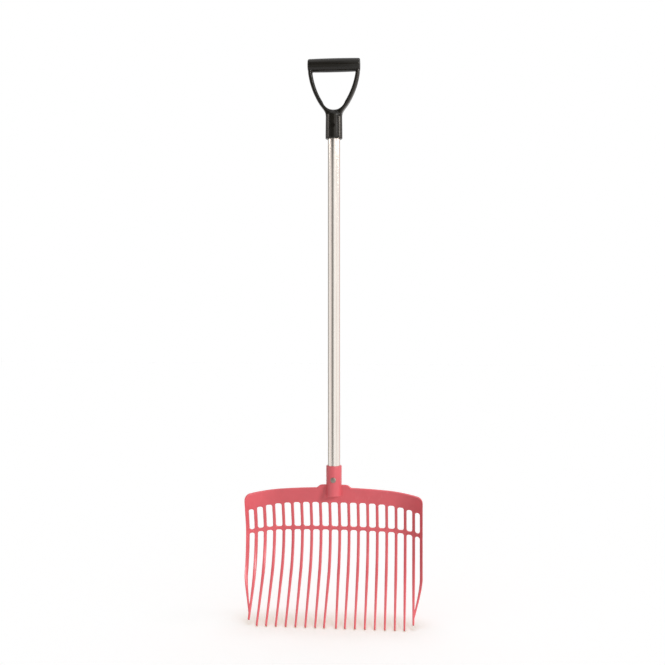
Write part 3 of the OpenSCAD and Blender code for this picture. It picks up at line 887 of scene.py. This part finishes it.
def noise(tree, place, scale, detail, roughness=0.5):
    """Noise on the given place. Returns its value."""
    values = {"Vector": place, "Scale": scale, "Detail": detail, "Roughness": roughness}
    return add_node(tree, "ShaderNodeTexNoise", values).outputs["Fac"]


def ranged(tree, value, low, high, to_low=0.0, to_high=1.0):
    """A value brought from one range to another. Returns the result."""
    values = {"Value": value, "From Min": low, "From Max": high, "To Min": to_low, "To Max": to_high}
    return add_node(tree, "ShaderNodeMapRange", values).outputs["Result"]


def worked(tree, operation, *values):
    """A Math node on numbers or sockets. Returns the result."""
    return add_node(tree, "ShaderNodeMath", dict(enumerate(values)), operation=operation).outputs[0]


def stretched(tree, place, turn, scale):
    """A place that is turned and stretched. Returns the new place."""
    values = {"Vector": place, "Rotation": turn, "Scale": scale}
    return add_node(tree, "ShaderNodeMapping", values, vector_type="POINT").outputs["Vector"]


def scuff_group():
    """Handling marks: broad soft patches times fine short scratches. Puts out a mask."""
    name = "handling marks"
    if name in bpy.data.node_groups:
        return bpy.data.node_groups[name]
    group, given, result = node_group(
        name,
        (
            ("Place", "NodeSocketVector", None),
            ("Patch Scale", "NodeSocketFloat", 9.0),
            ("Scratch Scale", "NodeSocketFloat", 260.0),
            ("Amount", "NodeSocketFloat", 0.3),
        ),
        (("Mask", "NodeSocketFloat"),),
    )
    place = given.outputs["Place"]
    broad = noise(group, place, given.outputs["Patch Scale"], detail=3.0)
    slanted = stretched(group, place, turn=(0.3, 0.9, 0.5), scale=(1.0, 1.0, 0.06))
    fine = noise(group, slanted, given.outputs["Scratch Scale"], detail=2.0, roughness=0.6)
    patches = ranged(group, broad, low=0.45, high=0.72)
    both = worked(group, "MULTIPLY", patches, ranged(group, fine, low=0.56, high=0.68))
    group.links.new(worked(group, "MULTIPLY", both, given.outputs["Amount"]), result.inputs["Mask"])
    return group


def surface_group(name, inputs, gloss):
    """A new group for a surface: scales and a range of gloss go in; tone, roughness and height come out."""
    scales = [(scale, "NodeSocketFloat", value) for scale, value in inputs]
    limits = [("Gloss Low", "NodeSocketFloat", gloss[0]), ("Gloss High", "NodeSocketFloat", gloss[1])]
    outputs = [(output, "NodeSocketFloat") for output in ("Tone", "Roughness", "Height")]
    return node_group(name, [("Place", "NodeSocketVector", None), *scales, *limits], outputs)


def put_out_surface(group, given, result, pattern, tones, height):
    """Ends a surface group: tone and gloss follow the pattern, and the height is put out as it is."""
    tone = ranged(group, pattern, 0.3, 0.7, *tones)
    gloss = ranged(group, pattern, 0.3, 0.7, given.outputs["Gloss Low"], given.outputs["Gloss High"])
    for output, value in (("Tone", tone), ("Roughness", gloss), ("Height", height)):
        group.links.new(value, result.inputs[output])
    return group


def mould_group():
    """Moulded surface: slow changes of tone and gloss from flow in the mould, and a fine grain height."""
    name = "moulded surface"
    if name in bpy.data.node_groups:
        return bpy.data.node_groups[name]
    scales = (("Flow Scale", 14.0), ("Grain Scale", 900.0))
    group, given, result = surface_group(name, scales, gloss=(0.3, 0.4))
    flow = noise(group, given.outputs["Place"], given.outputs["Flow Scale"], detail=4.0)
    grain = noise(group, given.outputs["Place"], given.outputs["Grain Scale"], detail=2.0)
    return put_out_surface(group, given, result, flow, tones=(0.94, 1.06), height=grain)


def line_group():
    """Drawing lines along Z: noise that is stretched along the length gives tone, gloss and height."""
    name = "drawing lines"
    if name in bpy.data.node_groups:
        return bpy.data.node_groups[name]
    group, given, result = surface_group(name, (("Line Scale", 700.0),), gloss=(0.14, 0.24))
    drawn = stretched(group, given.outputs["Place"], turn=(0.0, 0.0, 0.0), scale=(1.0, 1.0, 0.012))
    lines = noise(group, drawn, given.outputs["Line Scale"], detail=3.0, roughness=0.6)
    return put_out_surface(group, given, result, lines, tones=(0.95, 1.02), height=lines)


def bare_tree(owner):
    """The emptied node tree of a material or a world."""
    owner.use_nodes = True
    owner.node_tree.nodes.clear()
    return owner.node_tree


def put_out(tree, shader, kind="ShaderNodeOutputMaterial"):
    """Links a shader node to a new output."""
    tree.links.new(shader.outputs[0], tree.nodes.new(kind).inputs["Surface"])


def toned(tree, colour, tone, worn, mask):
    """Base colour times the tone, mixed to the worn colour by the mask. Returns the colour socket."""
    base = add_node(tree, "ShaderNodeVectorMath", {0: colour, 1: tone}, operation="MULTIPLY")
    mix = add_node(tree, "ShaderNodeMix", data_type="RGBA")
    tree.links.new(mask, mix.inputs["Factor"])
    tree.links.new(base.outputs[0], mix.inputs["A"])
    mix.inputs["B"].default_value = (*worn, 1.0)
    return mix.outputs["Result"]


def handled(name, group, colour, worn, gloss, marks, dulling, strength, depth):
    """A material with the tone, gloss and relief of a surface group, and with handling marks that show the
    worn colour and are duller. The relief has a strength and a depth. Returns material and shader."""
    material = bpy.data.materials.new(name)
    tree = bare_tree(material)
    place = tree.nodes.new("ShaderNodeTexCoord").outputs["Object"]
    limits = {"Place": place, "Gloss Low": gloss[0], "Gloss High": gloss[1]}
    surface = add_node(tree, "ShaderNodeGroup", limits, node_tree=group).outputs
    scuffs = add_node(tree, "ShaderNodeGroup", {"Place": place, "Amount": marks}, node_tree=scuff_group())
    mask = scuffs.outputs["Mask"]
    relief = {"Strength": strength, "Distance": depth, "Height": surface["Height"]}
    values = {
        "Base Color": toned(tree, tuple(colour), surface["Tone"], tuple(worn), mask),
        "Roughness": worked(tree, "MULTIPLY_ADD", mask, dulling, surface["Roughness"]),
        "Normal": add_node(tree, "ShaderNodeBump", relief).outputs["Normal"],
    }
    shader = add_node(tree, "ShaderNodeBsdfPrincipled", values)
    put_out(tree, shader)
    return material, shader


def moulding(name, colour, worn, roughness, specular, marks):
    """Moulded plastic: flow tone, gloss and grain from the mould, and handling marks."""
    gloss = [roughness + change for change in MOULD_GLOSS]
    material, shader = handled(
        name, mould_group(), colour, worn, gloss, marks, dulling=0.4, strength=0.05, depth=0.0004
    )
    shader.inputs["Specular IOR Level"].default_value = specular
    return material


def drawn_metal(name, colour, roughness, lines):
    """Metal with drawing lines along the handle and handling marks."""
    gloss = [roughness + change for change in METAL_GLOSS]
    dull = [DULL_SHARE * channel for channel in colour]
    material, shader = handled(
        name, line_group(), colour, dull, gloss, marks=0.25, dulling=0.5, strength=0.1 * lines, depth=0.0002
    )
    shader.inputs["Metallic"].default_value = 1.0
    return material


# Stage


def seen_directly(tree):
    """1 for rays from the camera, a mirror or glass, else 0."""
    ray = tree.nodes.new("ShaderNodeLightPath").outputs
    opaque = worked(tree, "MAXIMUM", ray["Is Camera Ray"], ray["Is Glossy Ray"])
    return worked(tree, "MAXIMUM", opaque, ray["Is Transmission Ray"])


def white_world(power):
    """White where it is seen; as a light it has the given strength."""
    world = bpy.data.worlds.new("studio")
    tree = bare_tree(world)
    strength = ranged(tree, seen_directly(tree), 0.0, 1.0, power, 1.0)
    background = add_node(tree, "ShaderNodeBackground", {"Color": (1, 1, 1, 1), "Strength": strength})
    put_out(tree, background, "ShaderNodeOutputWorld")
    return world


def floor_material(colour, shadow, lift):
    """Pale floor that keeps shadows: a matt part that takes the light, and for rays that see it directly a
    glow that lifts the unshadowed floor to white. What the shadow colour lacks is matt, the rest is glow, so
    the floor's shadows have that tint."""
    material = bpy.data.materials.new("studio_floor")
    tree = bare_tree(material)
    matt = add_node(tree, "ShaderNodeBsdfDiffuse", {"Color": (*colour, 1.0)})
    taken = tuple(lift * (1 - channel) for channel in shadow)
    pale = add_node(tree, "ShaderNodeBsdfDiffuse", {"Color": (*taken, 1.0)})
    glow = add_node(tree, "ShaderNodeEmission", {"Color": (*shadow, 1.0), "Strength": 1.0})
    seen = add_node(tree, "ShaderNodeAddShader", {0: pale.outputs[0], 1: glow.outputs[0]})
    shaders = {0: seen_directly(tree), 1: matt.outputs[0], 2: seen.outputs[0]}
    put_out(tree, add_node(tree, "ShaderNodeMixShader", shaders))
    return material


# Studio wall, in three rings about the handle: name, lower and upper edge in metres, then where each light or
# dark band starts, in degrees to the right of the front, and its glow. Only reflections see it: it draws the
# bands along the tube and the lights on the grip.
WALL_RINGS = (
    (
        "wall_by_tube",
        (0.0, 1.36),
        (
            (-180, (0.95, 0.94, 0.93)),
            (-150, (0.42, 0.41, 0.40)),
            (-118, (0.58, 0.56, 0.54)),
            (-98, (1.06, 1.04, 1.03)),
            (-73, (0.97, 0.90, 0.88)),
            (-42, (0.31, 0.30, 0.29)),
            (-1, (1.10, 1.09, 1.08)),
            (46, (0.96, 0.89, 0.87)),
            (66, (1.12, 1.11, 1.10)),
            (118, (0.88, 0.68, 0.67)),
            (146, (0.58, 0.56, 0.55)),
            (164, (1.0, 0.99, 0.98)),
        ),
    ),
    (
        "wall_by_grip",
        (1.36, 1.95),
        (
            (-180, (0.35, 0.35, 0.35)),
            (-118, (1.4, 1.3, 1.2)),
            (-86, (4.6, 4.2, 3.9)),
            (-70, (0.0, 0.0, 0.0)),
            (7, (1.4, 1.3, 1.2)),
            (50, (0.0, 0.0, 0.0)),
            (67, (1.5, 1.4, 1.3)),
            (83, (12.0, 11.1, 10.2)),
            (95, (1.6, 1.5, 1.4)),
            (130, (0.35, 0.35, 0.35)),
        ),
    ),
    (
        "wall_above",
        (1.95, 3.2),
        (
            (-180, (0.35, 0.35, 0.35)),
            (-70, (0.0, 0.0, 0.0)),
            (-4, (1.0, 1.0, 1.0)),
            (50, (0.0, 0.0, 0.0)),
            (67, (1.2, 1.2, 1.2)),
            (130, (0.35, 0.35, 0.35)),
        ),
    ),
)


def wall_material():
    """Glow of the studio wall, as painted on each of its bands."""
    material = bpy.data.materials.new("studio_wall")
    tree = bare_tree(material)
    painted = add_node(tree, "ShaderNodeAttribute", attribute_name="glow")
    put_out(tree, add_node(tree, "ShaderNodeEmission", {"Color": painted.outputs["Color"], "Strength": 1.0}))
    return material


def add_wall(scene, name, reach, heights, bands, material):
    """One ring of the studio wall: an upright cylinder about the handle's axis, seen by reflections only."""
    degrees = np.linspace(-180, 180, WALL_STEPS + 1)
    bearing = np.radians(degrees)
    rim = np.stack((reach * np.sin(bearing), AXIS_Y - reach * np.cos(bearing)), axis=-1)
    rows = [np.concatenate((rim, np.full((rim.shape[0], 1), height)), axis=1) for height in heights]
    mesh = bpy.data.meshes.new(name)
    mesh.from_pydata(np.concatenate(rows).tolist(), [], grid_quads(2, rim.shape[0]).tolist())
    starts = np.array([start for start, _ in bands])
    glows = np.array([glow for _, glow in bands])
    band = np.searchsorted(starts, (degrees[:-1] + degrees[1:]) / 2, side="right") - 1
    corners = np.concatenate((np.repeat(glows[band], 4, axis=0), np.ones((4 * band.size, 1))), axis=1)
    painted = mesh.color_attributes.new("glow", "FLOAT_COLOR", "CORNER")
    painted.data.foreach_set("color", corners.ravel())
    mesh.materials.append(material)
    wall = bpy.data.objects.new(name, mesh)
    wall.visible_camera = wall.visible_diffuse = wall.visible_transmission = wall.visible_shadow = False
    scene.collection.objects.link(wall)


def add_sun(scene, name, turn, rise, softness, power):
    """A soft distant light: turned to the right of the front, at the given height."""
    light = bpy.data.lights.new(name, "SUN")
    light.energy = power
    light.angle = softness
    sun = bpy.data.objects.new(name, light)
    sun.rotation_euler = (math.pi / 2 - rise, 0, turn)
    scene.collection.objects.link(sun)
    return sun


def add_floor(scene, reach, material):
    """A flat square floor about the fork."""
    mesh = bpy.data.meshes.new("floor")
    corners = [(-reach, -reach, 0), (reach, -reach, 0), (reach, reach, 0), (-reach, reach, 0)]
    mesh.from_pydata(corners, [], [(0, 1, 2, 3)])
    mesh.materials.append(material)
    floor = bpy.data.objects.new("floor", mesh)
    scene.collection.objects.link(floor)


def add_camera(scene, stage):
    """A level camera that looks at the handle's axis, turned to the right of the front."""
    lens = bpy.data.cameras.new("photo")
    lens.sensor_width = stage.frame_width
    lens.lens = stage.lens
    lens.shift_x = stage.shift_x
    lens.shift_y = stage.shift_y
    camera = bpy.data.objects.new("photo", lens)
    turn, reach = stage.camera_turn, stage.camera_reach
    camera.location = (reach * math.sin(turn), AXIS_Y - reach * math.cos(turn), stage.camera_height)
    camera.rotation_euler = (math.pi / 2, 0, turn)
    scene.collection.objects.link(camera)
    scene.camera = camera


class MANURE_FORK_OT_stage(bpy.types.Operator):
    """Plain pale floor, soft studio light and the camera"""

    bl_idname = "manure_fork.stage"
    bl_label = "Stage"

    def execute(self, context):
        scene, stage, finishes = context.scene, context.scene.fork_stage, context.scene.fork_finishes
        fork = bpy.data.collections.new("fork")
        for piece in [thing for thing in scene.objects if thing.type == "MESH"]:
            fork.objects.link(piece)
        pale = floor_material(finishes.floor_white, finishes.floor_shadow, stage.floor_lift)
        add_floor(scene, stage.floor_reach, pale)

        # Reflections don't see the top light, and the key light falls on the fork only.
        top = add_sun(scene, "top_light", stage.top_turn, stage.top_rise, stage.top_softness, stage.top_power)
        top.visible_glossy = False
        key = add_sun(scene, "key_light", stage.key_turn, stage.key_rise, stage.key_softness, stage.key_power)
        key.light_linking.receiver_collection = fork
        add_sun(scene, "side_light", stage.side_turn, stage.side_rise, stage.side_softness, stage.side_power)
        glow = wall_material()
        for name, heights, bands in WALL_RINGS:
            add_wall(scene, name, stage.wall_reach, heights, bands, glow)

        scene.world = white_world(stage.sky_power)
        scene.view_settings.view_transform = "Standard"
        add_camera(scene, stage)
        return {"FINISHED"}


class MANURE_FORK_PT_panel(bpy.types.Panel):
    """Sidebar panel with one button for each piece"""

    bl_idname = "MANURE_FORK_PT_panel"
    bl_label = "Manure fork"
    bl_space_type = "VIEW_3D"
    bl_region_type = "UI"
    bl_category = "Manure fork"

    def draw(self, context):
        for operator in OPERATORS:
            self.layout.operator(operator.bl_idname)


GROUPS = {
    "fork_head": ForkHeadSizes,
    "fork_handle": HandleSizes,
    "fork_finishes": ForkFinishes,
    "fork_stage": StageSettings,
}
OPERATORS = (
    MANURE_FORK_OT_head,
    MANURE_FORK_OT_tube,
    MANURE_FORK_OT_grip,
    MANURE_FORK_OT_fasteners,
    MANURE_FORK_OT_stage,
)


def register():
    """Registers the classes and hangs the settings on the scene."""
    for kind in (*GROUPS.values(), *OPERATORS, MANURE_FORK_PT_panel):
        bpy.utils.register_class(kind)
    for name, group in GROUPS.items():
        setattr(bpy.types.Scene, name, PointerProperty(type=group))


def unregister():
    """Takes the settings off the scene and the classes out."""
    for name in GROUPS:
        delattr(bpy.types.Scene, name)
    for kind in reversed((*GROUPS.values(), *OPERATORS, MANURE_FORK_PT_panel)):
        bpy.utils.unregister_class(kind)


def main():
    """Builds the pieces in order."""
    register()
    bpy.ops.manure_fork.head()
    bpy.ops.manure_fork.tube()
    bpy.ops.manure_fork.grip()
    bpy.ops.manure_fork.fasteners()
    bpy.ops.manure_fork.stage()


if __name__ == "__main__":
    main()
